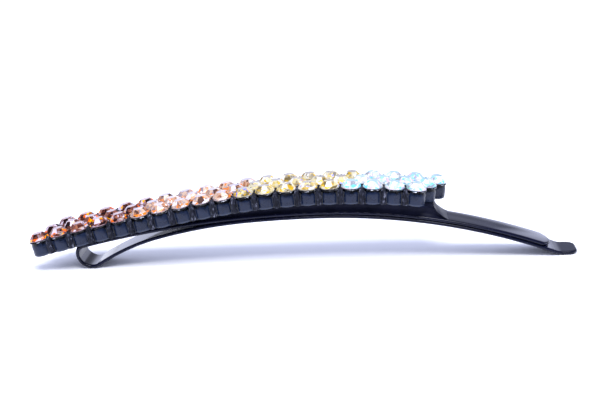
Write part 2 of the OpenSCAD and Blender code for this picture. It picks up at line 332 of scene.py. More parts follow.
def rim_slope(s):
    """Slope of the rim at a length s from its crest: one arc's, then the other's."""
    s = np.asarray(s, float)
    return np.where(s > -turn_s, s / rim_back_r, -rim_turn + (s + turn_s) / rim_front_r)


def rim_point(s, depth=0.0):
    """The point of the rim at a length s, or the one that lies a depth under it."""
    s = np.asarray(s, float)
    slope, back = rim_slope(s), s > -turn_s
    r = np.where(back, rim_back_r, rim_front_r) - depth
    cx, cz = np.where(back, rim_shift, front_x), rim_z + np.where(back, -rim_back_r, front_dz)
    return np.stack([cx + r * np.sin(slope), cz + r * np.cos(slope)], -1)


left_x = rim_point(first_s)[0] - cup_d / 2 * math.cos(rim_slope(first_s))
centre_x = -(left_x + tab_x) / 2
print("everything moves", round(centre_x, 3), "mm along X; the rim is", round(rim_z, 3), "mm high")


# %% A rounded strip along a path
def arc(centre, radius, start, end, count, side):
    """Points of an arc and their normals: away from its centre for side 1, towards it for -1."""
    angle = np.linspace(start, end, count)
    return centre + radius * spoke(angle), side * spoke(angle)


def join(*arcs):
    """Arcs end to end as one path, without the doubled points."""
    points = [arcs[0][0]] + [a[0][1:] for a in arcs[1:]]
    normals = [arcs[0][1]] + [a[1][1:] for a in arcs[1:]]
    return np.concatenate(points), np.concatenate(normals)


def strip_piece(name, path, half_width, outline_distance, across=15, rolled=6):
    """A strip along a path. A point at (x, y) of the plan lies half the thickness off the path, less
    what the rolled edge takes away: edge_r - sqrt(edge_r**2 - (edge_r - d)**2) at a distance d
    from the outline. The outer face is crowned too, and falls by crown_rise * v**2 to its sides."""
    points, normals = path
    roll = edge_r * (1 - np.cos(np.linspace(0, math.pi / 2, rolled)))
    flat = np.linspace(1 - edge_r / (strip_w / 2), 0, across // 2 + 2)[1:]
    edge = np.concatenate([1 - roll / (strip_w / 2), flat])
    v = np.concatenate([-edge, edge[-2::-1]])
    y = half_width[:, None] * v[None, :]
    d = np.clip(outline_distance(points[:, :1], y), 0, edge_r)
    h = strip_t / 2 - edge_r + np.sqrt(edge_r ** 2 - (edge_r - d) ** 2)
    crowned = np.maximum(h - crown_rise * v[None, :] ** 2, 0)
    outer, inner = [np.concatenate([points[:, None, :] + rise[..., None] * normals[:, None, :],
                                    y[..., None]], -1) for rise in (crowned, -h)]
    ring = np.concatenate([outer, inner[:, ::-1]], 1)
    cloud = np.stack([ring[..., 0] + centre_x, ring[..., 2], ring[..., 1]], -1)
    return make_piece(name, cloud.reshape(-1, 3), loft_faces(*ring.shape[:2]))


# %% The upper leg with its rounded nose
mid = strip_t / 2
nose_c = back_reach - nose_r
nose_start = math.acos(strip_w / 2 / nose_r)
# The last row stops just short of the tip, because a row of no width would not close the mesh.
nose_blunt = 0.04
nose_turn = np.linspace(nose_start, math.pi / 2 - nose_blunt, 26)
nose_x = nose_c + nose_r * np.sin(nose_turn)
tip_angle = math.pi / 2 - np.arcsin(nose_x / (back_r - mid))
upper_path = join(
    arc(front_c, front_r - mid, math.pi / 2 + bend_angle, math.pi / 2, count=70, side=1),
    arc(back_c, back_r - mid, math.pi / 2, tip_angle[0], count=60, side=1),
    (back_c + (back_r - mid) * spoke(tip_angle), spoke(tip_angle)))
upper_half = np.minimum(strip_w / 2, np.sqrt(np.clip(
    nose_r ** 2 - np.clip(upper_path[0][:, 0] - nose_c, 0, nose_r) ** 2, 0, None)))


def nose_distance(x, y):
    """Distance to the strip's sides, or to the round nose past its centre."""
    round_end = nose_r - np.hypot(np.clip(x - nose_c, 0, None), y)
    return np.minimum(strip_w / 2 - np.abs(y), round_end)


upper_leg = strip_piece("strip_upper_leg", upper_path, upper_half, nose_distance)


# %% The loop
def side_distance(x, y):
    """Distance to the strip's two straight sides."""
    return strip_w / 2 - np.abs(y)


loop_path = join(
    arc(bend_c, bend_r - mid, math.pi / 2 + bend_angle, math.pi, count=24, side=1),
    arc(foot_c, foot_r - mid, math.pi, math.pi * 1.5 + flare, count=48, side=1))
loop_half = np.full(len(loop_path[0]), strip_w / 2)
loop = strip_piece("strip_loop", loop_path, loop_half, side_distance)

# %% The lower leg with its kick and tab
narrow_before, narrow_len = 1.1, 1.0
corner_x = tab_x - tab_corner_r
corner_turn = np.linspace(0, math.pi / 2, 22)
corner_path = np.stack([corner_x + tab_corner_r * np.sin(corner_turn),
                        np.full(corner_turn.shape, mid)], -1)
lower_path = join(
    arc(near_c, near_r + mid, math.pi / 2 + flare, math.pi / 2 + ease, count=30, side=-1),
    arc(far_c, far_r + mid, math.pi / 2 + ease, math.pi / 2 + parting, count=24, side=-1),
    arc(front_c, front_r - lower_drop + mid, math.pi / 2 + parting, math.pi / 2, count=16, side=-1),
    arc(back_c, tail_r + mid, math.pi / 2, math.pi / 2 - kick, count=60, side=-1),
    arc(kick_c, kick_r - mid, math.pi * 1.5 - kick, math.pi * 1.5, count=14, side=1),
    (corner_path, np.tile([0.0, -1.0], (len(corner_path), 1))))


def tab_width(x):
    """Half the lower leg's width: the strip's, easing to the tab's, then round its corners."""
    straight = strip_w / 2 - tab_inset * level_ends((x - kick_c[0] + narrow_before) / narrow_len)
    past = np.clip(x - corner_x, 0, tab_corner_r)
    return straight - tab_corner_r + np.sqrt(tab_corner_r ** 2 - past ** 2)


def tab_distance(x, y):
    """Distance to the outline of a strip that ends in two round corners."""
    qx = x - corner_x
    qy = np.abs(y) - (tab_width(np.minimum(x, corner_x)) - tab_corner_r)
    outside = np.hypot(np.clip(qx, 0, None), np.clip(qy, 0, None))
    return tab_corner_r - outside - np.minimum(np.maximum(qx, qy), 0)


lower_leg = strip_piece("strip_lower_leg", lower_path, tab_width(lower_path[0][:, 0]), tab_distance)

# %% [markdown]
# ## The casting
# The setting is cast in one piece: a body with a cup for each stone, pillars between the outer cups,
# and prongs that are pushed over the stones. Cups and pillars are turned shapes, repeated along the
# rim and square to it. A cup is drawn in under its lip, and its wall waves slightly as cast metal
# does. The plan of a cup is a circle, and that of a pillar a rounded square.

# %% Turned shapes repeated along the rim
stone_s = first_s + pitch * np.arange(columns)[None, :] + pitch / 2 * np.arange(rows)[:, None]
stone_y = np.broadcast_to((np.arange(rows)[:, None] - 1) * row_y, (rows, columns))
print(stone_s.size, "stones in", rows, "rows, spaced", round(pitch, 2), "mm")


def on_rim(local, s, y):
    """Copies of local points at lengths s along the rim and at y across it, square to the rim."""
    s, y = np.ravel(s)[:, None], np.ravel(y)[:, None]
    slope, foot = rim_slope(s), rim_point(s[:, 0])[:, None, :]
    x = foot[..., 0] + local[..., 0] * np.cos(slope) + local[..., 2] * np.sin(slope) + centre_x
    z = foot[..., 1] - local[..., 0] * np.sin(slope) + local[..., 2] * np.cos(slope)
    return np.stack([x, y + local[..., 1], z], -1)


def repeated(faces, copies, per_copy):
    """The faces of one shape, numbered on for each copy."""
    return (faces[None] + per_copy * np.arange(copies)[:, None, None]).reshape(-1, faces.shape[1])


def turned(profile, sides, squareness=2.0):
    """A profile of (radius, height) carried round an upright axis. The plan is a superellipse,
    |x|**n + |y|**n = radius**n, which is a circle for n = 2 and squarer above."""
    angle = np.linspace(0, 2 * math.pi, sides, endpoint=False)
    c, s = np.cos(angle), np.sin(angle)
    reach = (np.abs(c) ** squareness + np.abs(s) ** squareness) ** (-1 / squareness)
    r = profile[:, 0, None] * reach
    grid = np.stack([r * c, r * s, np.broadcast_to(profile[:, 1, None], r.shape)], -1)
    return grid.reshape(-1, 3), grid_faces(len(profile), sides)


def waves(points, seed, size):
    """Smooth uneven shifts of up to about size: size / 2.2 times the sum of sin(p . run + phase)
    over five sine waves that run in chosen directions."""
    draw = np.random.default_rng(seed)
    run = draw.normal(0, 1, (5, 3)) * np.array([1.6, 1.6, 1.2])
    phase = draw.uniform(0, 2 * math.pi, (5, 3))[:, 0]
    return size / 2.2 * np.sin(points @ run.T + phase).sum(-1)


# %% The cups
stone_r, stone_lift, pavilion_h = stone_d / 2, 0.1, 1.05
cup_r, foot_round, rim_round = cup_d / 2, 0.32, 0.075
wall_in, neck_in, seat_clear, seat_below = 0.06, 0.12, 0.03, 0.02
cup_sides, dent_share, dent_fade, cup_shift, core_r = 40, 0.012, 0.5, 5.3, 1.0
wall_r, seat_h = cup_r - wall_in, pavilion_h - stone_lift
mouth_r = (stone_r + seat_clear) * seat_h / pavilion_h
turn = np.linspace(0, math.pi / 2, 6)
lip = np.linspace(-math.pi / 2, math.pi / 2, 7)
foot = np.stack([wall_r - foot_round + foot_round * np.sin(turn),
                 -cup_h + foot_round - foot_round * np.cos(turn)], -1)
neck = [[wall_r, -1.1], [wall_r, -0.66], [wall_r - neck_in / 4, -0.52], [wall_r - neck_in, -0.2]]
rim = np.stack([cup_r - rim_round + rim_round * np.cos(lip), -rim_round + rim_round * np.sin(lip)], -1)
seat = [[mouth_r, 0.0], [mouth_r * 0.5, -seat_h * 0.5], [0.0, -seat_h - seat_below]]
cup_local, cup_faces = turned(np.concatenate([[[0.0, -cup_h]], foot, neck, rim, seat]), cup_sides)

# Every cup takes its dents from another place of the same waves, and only its wall has them.
cup_number = np.arange(columns * rows)[:, None]
cup_place = cup_shift * np.stack([cup_number, 2 * cup_number, 3 * cup_number], -1)
dent = waves(cup_local[None] + cup_place, 5, 1.0)
off_core = cup_local[:, 0] ** 2 + cup_local[:, 1] ** 2 > core_r ** 2
on_wall = np.clip(-cup_local[:, 2] / dent_fade, 0, 1) * off_core
shrink = 1 - dent_share * on_wall * (1 + dent)
cup_shaped = cup_local[None] * np.stack([shrink, shrink, np.ones_like(shrink)], -1)

# The layer "depth" is the distance under the rim in mm. The seats and the body get a set number
# instead, which keeps them out of the bright worn lip and puts the seats and part of the body in the
# painted shade under it.
seat_depth, body_depth, seat_margin = 0.3, 0.4, 0.02
in_seat = np.hypot(cup_local[:, 0], cup_local[:, 1]) < mouth_r + seat_margin
cup_depth = np.where(in_seat, seat_depth, -cup_local[:, 2])
cups = make_piece("setting_cups", on_rim(cup_shaped, stone_s, stone_y).reshape(-1, 3),
                  repeated(cup_faces, columns * rows, len(cup_local)), 50,
                  depth=np.tile(cup_depth, columns * rows))

# %% The body between the cups
body_round = 0.3
body_s = np.linspace(-0.5, columns - 0.5, 150)
corner = np.linspace(0, math.pi / 2, 5)
foot_edge = np.stack([body_y - body_round + body_round * np.sin(corner),
                      cup_h - body_round + body_round * np.cos(corner)], -1)
top_edge = np.stack([body_y - body_round / 2 + body_round / 2 * np.cos(corner),
                     body_drop + body_round / 2 - body_round / 2 * np.sin(corner)], -1)
half_ring = np.concatenate([foot_edge, top_edge])
ring = np.concatenate([half_ring, half_ring[::-1] * [-1, 1]])
slant = (ring[:, 0] / row_y + 1) / 2
body_ends = first_s + pitch * np.clip(body_s, 0, columns - 1)
body_len = body_ends[:, None] + pitch * slant[None, :]
body_xz = rim_point(body_len, ring[:, 1])
body_points = np.stack([body_xz[..., 0] + centre_x,
                        np.broadcast_to(ring[:, 0], body_len.shape), body_xz[..., 1]], -1)
body = make_piece("setting_body", body_points.reshape(-1, 3), loft_faces(*body_len.shape),
                  depth=np.full(body_len.shape, body_depth))

# %% [markdown]
# The pillars are rough, as they came from the mould. Each is turned like the cups, then every point
# is pushed in or out by its own small amount, and its top narrows into the prong that leans over the
# two stones beside it.

# %% The pillars and their prongs
pillar_r, pillar_sides, pillar_out, pillar_squareness = 0.37, 12, 0.02, 2.8
prong_h, prong_lean, lean_from = 0.42, 0.2, -0.1
own_share, shared_part, shaft_rough, prong_rough, prong_below_r = 0.55, 0.45, 0.1, 0.06, 0.3
shaft = np.stack([np.full(11, pillar_r), np.linspace(-cup_h + 0.22, -0.28, 11)], -1)
pillar_profile = np.concatenate([
    [[0.0, -cup_h + 0.06], [pillar_r - 0.1, -cup_h + 0.08]], shaft,
    [[pillar_r - 0.05, -0.08], [0.24, 0.08], [0.19, 0.2], [0.14, prong_h - 0.08],
     [0.08, prong_h - 0.01], [0.0, prong_h]]])
pillar_local, pillar_faces = turned(pillar_profile, pillar_sides, pillar_squareness)
pillar_s = np.concatenate([stone_s[0, :-1], stone_s[2, :-1]]) + pitch / 2
pillar_side = np.repeat([-1.0, 1.0], columns - 1)

# A point is pushed by its own amount and by some of the one below, which gives upright streaks.
draw = np.random.default_rng(7)
jitter = draw.uniform(-1, 1, (len(pillar_s), len(pillar_profile), pillar_sides))
jitter = own_share * jitter + shared_part * np.roll(jitter, 1, 1)
jitter *= np.where(pillar_profile[:, 0] > prong_below_r, shaft_rough, prong_rough)[:, None]
rough = 1 + jitter.reshape(len(pillar_s), -1)
shaped = pillar_local[None] * np.stack([rough, rough, np.ones_like(rough)], -1)
lean = np.clip((shaped[..., 2] - lean_from) / (prong_h - lean_from), 0, 1)
shaped[..., 1] -= pillar_side[:, None] * prong_lean * lean ** 1.5
pillars = make_piece(
    "setting_pillars",
    on_rim(shaped, pillar_s, pillar_side * (body_y + pillar_out)).reshape(-1, 3),
    repeated(pillar_faces, len(pillar_s), len(pillar_local)), 60)

# %% The inner prongs
inner_profile = np.array([
    [0.0, -0.5], [0.24, -0.5], [0.22, 0.06], [0.17, 0.2], [0.08, 0.27], [0, 0.28]])
inner_local, inner_faces = turned(inner_profile, 9)
inner_s = np.concatenate([stone_s[0, :-1] + pitch / 2, stone_s[0, 1:],
                          stone_s[1, :-1] + pitch / 2, stone_s[1, 1:]])
inner_y = row_y * np.repeat([-2 / 3, -1 / 3, 1 / 3, 2 / 3], columns - 1)
prongs = make_piece("setting_prongs", on_rim(inner_local, inner_s, inner_y).reshape(-1, 3),
                    repeated(inner_faces, len(inner_s), len(inner_local)), 60)

# %% [markdown]
# ## The adhesive
# The jeweller fills the wedge between the casting and the leg, which is more curved, with black
# adhesive. It wets both faces, so its sides are hollow between them, and it runs out at the back end
# in a hollow fillet. A loft does this: stations along the rim, each a section whose half width grows
# with the third power of the distance from mid height. Past the foot of the middle row's last cup the
# tops of the stations fall along a hollow curve to the leg, and their shoulders sink first.

# %% The bed
bed_half, bed_front, bed_over, bed_lap = strip_w / 2 - 0.3, 24.0, 1.1, 0.01
hollow_in, hollow_flare, bed_wave = 0.3, 0.5, 0.02
fillet_r, fillet_power, fillet_sink, fillet_pinch = 1.9, 1.4, 0.03, 0.1
shoulder_fall, shoulder_share = 0.3, 0.3
bed_s = np.linspace(-bed_front, stone_s[1, -1] + bed_over, 70)
bed_top = rim_point(bed_s, cup_h - bed_lap)


def leg_top(x):
    """Height of the upper leg's top at x."""
    r = np.where(x < 0, front_r, back_r)
    return crest_z - r + np.sqrt(r ** 2 - x ** 2)


fillet_run = np.linspace(0, 1, 16)[1:]
fillet_x = bed_top[-1, 0] + fillet_r * fillet_run
drop = bed_top[-1, 1] - leg_top(fillet_x)
fillet_z = leg_top(fillet_x) + drop * (1 - fillet_run) ** fillet_power - fillet_sink
bed_x = np.concatenate([bed_top[:, 0], fillet_x])
bed_high = np.concatenate([bed_top[:, 1], fillet_z])
bed_low = leg_top(bed_x) - crown_rise

up_side = np.linspace(0, 1, 11)
hollow = bed_half - hollow_in + hollow_flare * np.abs(2 * up_side - 1) ** 3
across = np.linspace(hollow[-1], -hollow[-1], 9)[1:-1]
section_y = np.concatenate([hollow, across, -hollow[::-1]])
section_t = np.concatenate([up_side, np.ones(len(across)), up_side[::-1]])
past_end = np.clip((bed_x - bed_top[-1, 0]) / fillet_r, 0, 1)
pinch = 1 - fillet_pinch * past_end * (1 - past_end) * 4
bed_points = np.stack([
    np.broadcast_to(bed_x[:, None] + centre_x, (len(bed_x), len(section_y))),
    section_y[None, :] * pinch[:, None],
    bed_low[:, None] + (bed_high - bed_low)[:, None] * section_t[None, :]], -1)
bed_points[..., 2] += waves(bed_points, 3, bed_wave) * (section_t * (1 - section_t) * 4)[None, :]
to_side = (section_y / section_y.max())[None, :] ** 2
fall = shoulder_fall * level_ends(past_end / shoulder_share)[:, None] * to_side
bed_points[..., 2] -= fall * (bed_points[..., 2] - bed_low[:, None])
bed = make_piece("adhesive_wedge", bed_points.reshape(-1, 3), loft_faces(*bed_points.shape[:2]), 60)

# %% The bead of adhesive at the loop
bead_angle, bead_start, bead_rows, bead_curve_steps = math.radians(163), 7.1, 16, 9
bead_pull_in, bead_lap = 0.12, 0.02
bead_foot = bend_c + (bend_r + 0.015) * spoke(bead_angle)
bead_top = rim_point(first_s + bead_start, cup_h - bead_lap)
bead_bend = np.array([bead_foot[0] + 0.2, bead_top[1] - 0.06])
t = np.linspace(0, 1, bead_curve_steps)[:, None]
bead_curve = (1 - t) ** 2 * bead_top + 2 * t * (1 - t) * bead_bend + t ** 2 * bead_foot
bead_inner = np.array([[bend_c[0] - 0.5, bend_c[1] + bend_r - 0.2], [bend_c[0] - 0.1, leg_at_loop]])
bead_section = np.concatenate([bead_curve, bead_inner])
bead_y = np.linspace(-bed_half, bed_half, bead_rows)
bead_size = (1 - bead_pull_in * (np.abs(bead_y) / bed_half) ** 6)[:, None]
middle = bead_section.mean(0)
bead_points = np.stack([
    middle[0] + (bead_section[None, :, 0] - middle[0]) * bead_size + centre_x,
    np.broadcast_to(bead_y[:, None], (bead_rows, len(bead_section))),
    middle[1] + (bead_section[None, :, 1] - middle[1]) * bead_size], -1)
bead_end = np.arange(len(bead_section))
bead_faces = list(grid_faces(bead_rows, len(bead_end)))
bead_faces += [bead_end[::-1], bead_end + (bead_rows - 1) * len(bead_end)]
bead = make_piece("adhesive_bead", bead_points.reshape(-1, 3), bead_faces, 50)

# %% [markdown]
# ## The stones
# Each stone is a glass chaton: a flat table, eight broad main facets, small facets at the girdle and a
# foiled point. Seen at this size the fire is a mosaic, because every facet of the crown shows pieces
# of the foiled facets below. So each main facet is cut into four triangles that stay in its plane,
# and every triangle carries a number of its own from which the material picks its colour. This costs
# about a hundred faces a stone and no refraction.

# %% One stone
girdle_h, crown_h, main_ratio, main_height, table_ratio = 0.08, 0.88, 0.92, 0.36, 0.52
mains, girdles, table_pull, main_pull = 8, 16, 0.7, 1.3


def ring_points(ratio, height, count, half_steps=0.0):
    """A ring of points round a stone, at a share of its radius and at a height."""
    angle = 2 * math.pi * (np.arange(count) + half_steps) / count
    r = stone_r * ratio
    return np.stack([r * np.cos(angle), r * np.sin(angle), np.full(count, height)], -1)


main_z = girdle_h + (crown_h - girdle_h) * main_height
girdle_low, girdle_top = ring_points(1, 0, girdles), ring_points(1, girdle_h, girdles)
main_ring = ring_points(main_ratio, main_z, mains, 0.5)
table_ring = ring_points(table_ratio, crown_h, mains, 0.5)
table_edge = table_ring + np.roll(table_ring, -1, 0)
main_edge = main_ring + np.roll(main_ring, -1, 0)
main_mid = (table_pull * table_edge + main_pull * main_edge) / 4
stone_points = np.concatenate([girdle_low, girdle_top, main_ring, table_ring, main_mid,
                               [[0, 0, crown_h]], [[0, 0, -pavilion_h]]])
low_at, top_at, main_at = 0, girdles, 2 * girdles
table_at, mid_at, heart = main_at + mains, main_at + 2 * mains, main_at + 3 * mains
point = heart + 1

# Every entry is a kind of facet, the numbers of its facets, and their triangles. Kinds 1 and 2 share
# their numbers, because they are the upper part and the foot of the same main facet.
e = np.arange(mains)
n = (e + 1) % mains
near, over, next_near = top_at + 2 * e, top_at + 2 * e + 1, top_at + (2 * e + 2) % girdles
crown_facets = [
    (0, 0 * e, [(heart + 0 * e, table_at + e, table_at + n)]),
    (1, 8 + e, [(mid_at + e, table_at + n, table_at + e), (mid_at + e, table_at + e, main_at + e),
                (mid_at + e, main_at + n, table_at + n)]),
    (2, 8 + e, [(mid_at + e, main_at + e, main_at + n)]),
    (3, 16 + e, [(main_at + e, near, over), (main_at + e, over, next_near),
                 (main_at + e, next_near, main_at + n)])]
w = np.arange(girdles)
wn = (w + 1) % girdles
back = [(low_at + w, low_at + wn, top_at + wn), (low_at + w, top_at + wn, top_at + w),
        (point + 0 * w, low_at + wn, low_at + w)]
parts = [(kind, facet, part) for kind, facet, group in crown_facets for part in group]
parts += [(4, 32 + w // 2, part) for part in back]
stone_faces = np.concatenate([np.stack(part, -1) for kind, facet, part in parts])
facet_of = np.concatenate([facet for kind, facet, part in parts])
kind_of = np.concatenate([np.full(len(facet), kind) for kind, facet, part in parts])
print("a stone has", len(stone_faces), "triangles")

# %% The four colours of stone
# The layers: "fire" picks the plain colour, "flash" is 1 where a triangle may flash, and "whole" is 1
# on the table and behind the girdle, which don't splinter.
groups = [("brown", 5), ("peach", 5), ("yellow", 5), ("aurora", 4)]
flash_share = {"brown": 0.26, "peach": 0.24, "yellow": 0.24, "aurora": 0.2}
lively = np.array([0.0, 0.45, 1.0, 1.0, 0.0])[kind_of]
table_fire, back_fire, fire_spread, facet_count = 0.58, 0.62, 0.1, 40
is_table, is_back = kind_of == 0, kind_of == 4
draw = np.random.default_rng(21)
stones = {}
first_column = 0
for name, count in groups:
    chosen = slice(first_column, first_column + count)
    s, y = stone_s[:, chosen].ravel(), stone_y[:, chosen].ravel()
    turn_by = draw.uniform(0, math.pi / 4, len(s))[:, None]
    local = np.stack([
        stone_points[:, 0] * np.cos(turn_by) - stone_points[:, 1] * np.sin(turn_by),
        stone_points[:, 0] * np.sin(turn_by) + stone_points[:, 1] * np.cos(turn_by),
        np.broadcast_to(stone_points[:, 2] + stone_lift, (len(s), len(stone_points)))], -1)
    piece = make_piece(f"stones_{name}", on_rim(local, s, y).reshape(-1, 3),
                       repeated(stone_faces, len(s), len(stone_points)), smooth=False)
    parity = (facet_of[None, :] + draw.integers(0, 2, (len(s), 1))) % 2
    facet_value = draw.uniform(0, 1, (len(s), facet_count))[:, facet_of]
    own_value = draw.uniform(0, 1, (len(s), len(stone_faces)))
    fire = np.where(is_table, table_fire, 0.5 * parity + 0.5 * facet_value)
    fire = np.where(is_back, back_fire, fire)
    fire = np.clip(fire + fire_spread * (own_value - 0.5), 0.001, 0.999)
    flash = draw.uniform(0, 1, (len(s), len(stone_faces))) < flash_share[name] * lively
    whole = np.broadcast_to(is_table | is_back, fire.shape)
    for title, values in (("fire", fire), ("flash", flash), ("whole", whole)):
        layer = piece.data.attributes.new(title, "FLOAT", "FACE")
        layer.data.foreach_set("value", values.ravel().astype(np.float32))
    stones[name] = (piece, [f"{name}_stones_{k}" for k in range(1, count + 1)])
    first_column += count

# %% [markdown]
# ## Finishes
# The enamel is a glossy black with a little blue in it and a faint orange peel. Where it was rubbed,
# its gloss is duller, and most of all on the tab that hair slides past.

# %% The enamel
enamel = Finish("black_enamel", IOR=1.33, Specular_Tint=colour(0.88, 0.9, 1.0))
peel = enamel.noise(2600, 2)
rub = enamel.noise(260, 4)
dust = enamel.step(enamel.noise(7000, 1), 0.74, 0.8)
gloss_black = enamel.ramp(rub, [(0.3, (0.002, 0.003, 0.01)), (0.75, (0.006, 0.007, 0.022))])
gloss, rub_dulls, hair_dulls = 0.03, 0.1, 0.24
hair_from, hair_full = 0.0318, 0.0332
along = enamel.node("ShaderNodeSeparateXYZ", {}, [enamel.place()])
hair_worn = enamel.step(along, hair_from, hair_full)
enamel.feed(
    Base_Color=enamel.mix(dust, gloss_black, colour(0.12, 0.12, 0.16)),
    Roughness=rub * rub_dulls + gloss + hair_worn * hair_dulls,
    Normal=enamel.bump(peel, 0.06, 0.00004))

# %% [markdown]
# The casting is black plated, and its lips are worn to bright metal in places. A paler band is painted
# near the feet of the cups as a highlight, and a painted shade with a wavering lower edge lies under
# the lips. The pillars were never plated well, and their grit shows grey.

# %% The casting
casting = Finish("plated_casting", IOR=1.5, Specular_IOR_Level=0.36)
lumps = casting.noise(1300, 4)
broken = casting.noise(1900, 2)
depth = casting.node("ShaderNodeAttribute", {"attribute_name": "depth"}, output="Fac")
lip_mask = casting.step(depth, 0.12, 0.08) * casting.step(broken, 0.57, 0.63)
# Painted highlight: a paler band near the foot of each cup, which stands for light mirrored at its
# rounded foot.
foot_highlight_mask = casting.step(depth, 1.72, 1.8) * casting.step(depth, 1.96, 1.9)
# Painted shade: darker just under the lips, in the drawn-in neck below the overhanging lips and stones.
painted_lip_shade = casting.step(depth + (lumps - 0.5) * 0.9, 0.5, 0.36)
plate = casting.ramp(lumps, [(0.3, (0.002, 0.006, 0.021)), (0.7, (0.006, 0.014, 0.042))])
plate_with_lip_shade = casting.mix(painted_lip_shade, plate, colour(0.001, 0.0015, 0.004))
plate_with_painted_shade_and_foot_highlight = casting.mix(foot_highlight_mask, plate_with_lip_shade, colour(0.03, 0.04, 0.07))
casting.feed(
    Base_Color=casting.mix(lip_mask, plate_with_painted_shade_and_foot_highlight, colour(0.6, 0.62, 0.7)),
    Metallic=lip_mask * 0.9,
    Roughness=lumps * 0.3 + 0.14,
    Normal=casting.bump(lumps, 0.35, 0.0001))

rough_casting = Finish("rough_casting", IOR=1.5, Specular_IOR_Level=0.2)
grit = rough_casting.noise(4600, 3, 0.7, (1.0, 1.0, 0.4))
coarse = rough_casting.noise(1700, 2)
rough_casting.feed(
    Base_Color=rough_casting.ramp(grit + (coarse - 0.5) * 0.5, [
        (0.42, (0.002, 0.003, 0.008)), (0.58, (0.016, 0.018, 0.034)), (0.76, (0.24, 0.25, 0.31))]),
    Roughness=grit * 0.3 + 0.3,
    Normal=rough_casting.bump(grit, 0.8, 0.00015))

# %% The adhesive
adhesive = Finish("black_adhesive", IOR=1.4, Specular_IOR_Level=0.06)
flow = adhesive.noise(700, 2)
adhesive.feed(
    Base_Color=adhesive.ramp(flow, [(0.3, (0.006, 0.007, 0.014)), (0.7, (0.011, 0.012, 0.026))]),
    Roughness=flow * 0.2 + 0.25,
    Normal=adhesive.bump(flow, 0.3, 0.0001))

# %% [markdown]
# The stones' colours are steps over the number that each triangle carries: a few dark ones, a few plain
# ones and some pale ones, with others that flash. The pale and dark steps and the flashes are painted
# reflections and painted fire, which stand for the light that the foil sends back through the facets.
# Straight-sided splinters and a little noise shift that number inside a facet, because the foil below
# is seen through several facets at once.

# %% The stones' finishes
# Painted reflections: the pale and the darkest steps stand for light and dark mirrored by the foil and
# the facets.
palettes = {
    "brown": [(0.0, (0.014, 0.005, 0.006)), (0.16, (0.075, 0.02, 0.014)), (0.34, (0.17, 0.06, 0.042)),
              (0.5, (0.32, 0.12, 0.06)), (0.56, (0.26, 0.18, 0.2)), (0.66, (0.14, 0.05, 0.036)),
              (0.8, (0.62, 0.52, 0.6))],
    "peach": [(0.0, (0.09, 0.045, 0.035)), (0.1, (0.34, 0.15, 0.08)), (0.22, (0.52, 0.31, 0.2)),
              (0.4, (0.24, 0.16, 0.16)), (0.48, (0.6, 0.4, 0.27)), (0.55, (0.3, 0.25, 0.28)),
              (0.64, (0.58, 0.42, 0.31)), (0.84, (0.72, 0.68, 0.72))],
    "yellow": [(0.0, (0.16, 0.12, 0.05)), (0.08, (0.52, 0.31, 0.02)), (0.2, (0.3, 0.25, 0.16)),
               (0.3, (0.55, 0.42, 0.14)), (0.42, (0.62, 0.53, 0.27)), (0.54, (0.24, 0.21, 0.17)),
               (0.63, (0.6, 0.55, 0.38)), (0.82, (0.76, 0.75, 0.68))],
    "aurora": [(0.0, (0.28, 0.3, 0.33)), (0.08, (0.3, 0.56, 0.62)), (0.16, (0.58, 0.6, 0.58)),
               (0.3, (0.42, 0.62, 0.5)), (0.38, (0.7, 0.69, 0.66)), (0.54, (0.32, 0.47, 0.53)),
               (0.63, (0.66, 0.47, 0.52)), (0.73, (0.46, 0.43, 0.62)), (0.8, (0.78, 0.77, 0.74))]}
# Painted fire: coloured flashes of light from the foil.
flashes = {
    "brown": [(0.42, (0.85, 0.13, 0.006)), (0.55, (1.0, 0.45, 0.0))],
    "peach": [(0.42, (0.8, 0.21, 0.02)), (0.6, (1.0, 0.95, 0.9))],
    "yellow": [(0.42, (0.75, 0.45, 0.01)), (0.6, (0.15, 0.2, 0.9))],
    "aurora": [(0.42, (0.16, 0.6, 0.7)), (0.55, (0.3, 0.72, 0.5))]}
shade_part, splinter_part = 0.14, 0.6
for name, (piece, nodes) in stones.items():
    glass = Finish(f"{name}_glass", Roughness=0.05, IOR=1.45)
    fire = glass.node("ShaderNodeAttribute", {"attribute_name": "fire"}, output="Fac")
    flash = glass.node("ShaderNodeAttribute", {"attribute_name": "flash"}, output="Fac")
    whole = glass.node("ShaderNodeAttribute", {"attribute_name": "whole"}, output="Fac")
    shade = glass.noise(1100, 2)
    speck = glass.noise(2600, 2)
    splinters = glass.splinters(2500)
    stir = (shade - 0.5) * shade_part + (splinters - 0.5) * splinter_part
    plain = glass.ramp(fire + stir * (1 - whole), palettes[name], "CONSTANT")
    hot = glass.ramp(shade, flashes[name], "CONSTANT")
    piece.data.materials.append(glass.feed(
        Base_Color=glass.mix(flash * glass.step(speck, 0.4, 0.46), plain, hot)))
    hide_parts(*nodes)
    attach(piece, "clip")

# %% [markdown]
# ## What each piece stands for
# Every piece takes the place of its CAD node, and all but the loop ride on that node's body. The loop's
# path runs between the two legs, from the end of the upper one to the start of the lower one; it stays
# where it was built and rides on no body.

# %% Finishes, nodes and bodies
for piece, finish, slot in ((upper_leg, enamel, "enamel"), (loop, enamel, "enamel"),
                            (lower_leg, enamel, "enamel"), (cups, casting, "casting"),
                            (body, casting, "casting"), (prongs, rough_casting, "casting"),
                            (pillars, rough_casting, "casting"), (bed, adhesive, "adhesive"),
                            (bead, adhesive, "adhesive")):
    piece.data.materials.append(finish.material)

